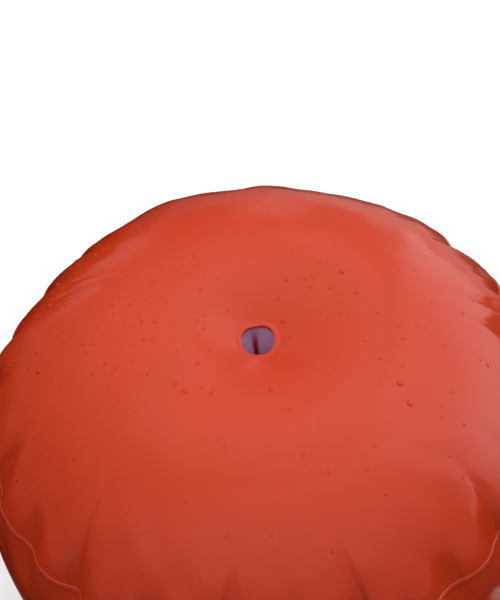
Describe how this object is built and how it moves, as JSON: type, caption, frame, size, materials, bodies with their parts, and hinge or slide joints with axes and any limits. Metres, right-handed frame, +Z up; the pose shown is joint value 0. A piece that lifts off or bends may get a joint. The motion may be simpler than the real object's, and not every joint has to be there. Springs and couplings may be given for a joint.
{
  "type": "inflatable signal buoy",
  "caption": "Round inflated signal buoy of coated fabric with a lined staff bore through its middle, swinging mooring rings and a screw valve.",
  "frame": {"origin": "on the standing plane, under the middle of the staff bore", "axes": "+Z up along the staff bore; +X towards mooring ring 1, +Y towards mooring ring 2; the valve lies between +X and -Y"},
  "size_m": [0.4258, 0.4258, 0.26],
  "materials": {
    "coated_skin": "orange-red coated fabric, fine weave under a wet gloss",
    "weld_bead": "smooth orange-red bead",
    "lip_ring": "smooth orange-red ring",
    "tube_white": "white soft tube, satin gloss",
    "patch_skin": "welded orange-red patch",
    "webbing_black": "black ribbed webbing",
    "ring_steel": "stainless wire",
    "valve_white": "white soft moulding",
    "cap_white": "white ribbed moulding"
  },
  "bodies": {
    "float": {"upper_panel": "coated_skin", "side_band": "coated_skin", "lower_panel": "coated_skin", "upper_seam_bead": "weld_bead", "lower_seam_bead": "weld_bead", "through_tube": "tube_white", "upper_lip": "lip_ring", "lower_lip": "lip_ring", "ring_patch_1": "patch_skin", "webbing_loop_1": "webbing_black", "ring_patch_2": "patch_skin", "webbing_loop_2": "webbing_black", "ring_patch_3": "patch_skin", "webbing_loop_3": "webbing_black", "ring_patch_4": "patch_skin", "webbing_loop_4": "webbing_black", "valve_base": "valve_white", "valve_neck": "valve_white", "valve_leash": "cap_white"},
    "mooring_ring_1": {"mooring_ring_1": "ring_steel"},
    "mooring_ring_2": {"mooring_ring_2": "ring_steel"},
    "mooring_ring_3": {"mooring_ring_3": "ring_steel"},
    "mooring_ring_4": {"mooring_ring_4": "ring_steel"},
    "valve_cap": {"valve_cap": "cap_white"}
  },
  "joints": [
    {"name": "mooring_ring_1_swing", "type": "hinge", "parent": "float", "child": "mooring_ring_1", "pos_m": [0.2092, 0, 0.13], "axis": [0, -1, 0], "range_deg": [-5, 150]},
    {"name": "mooring_ring_2_swing", "type": "hinge", "parent": "float", "child": "mooring_ring_2", "pos_m": [0, 0.2092, 0.13], "axis": [1, 0, 0], "range_deg": [-5, 150]},
    {"name": "mooring_ring_3_swing", "type": "hinge", "parent": "float", "child": "mooring_ring_3", "pos_m": [-0.2092, 0, 0.13], "axis": [0, 1, 0], "range_deg": [-5, 150]},
    {"name": "mooring_ring_4_swing", "type": "hinge", "parent": "float", "child": "mooring_ring_4", "pos_m": [0, -0.2092, 0.13], "axis": [-1, 0, 0], "range_deg": [-5, 150]},
    {"name": "valve_cap_turn", "type": "hinge", "parent": "float", "child": "valve_cap", "pos_m": [0.14262, -0.14262, 0.13], "axis": [0.7071, -0.7071, 0], "range_deg": [0, 360]}
  ]
}
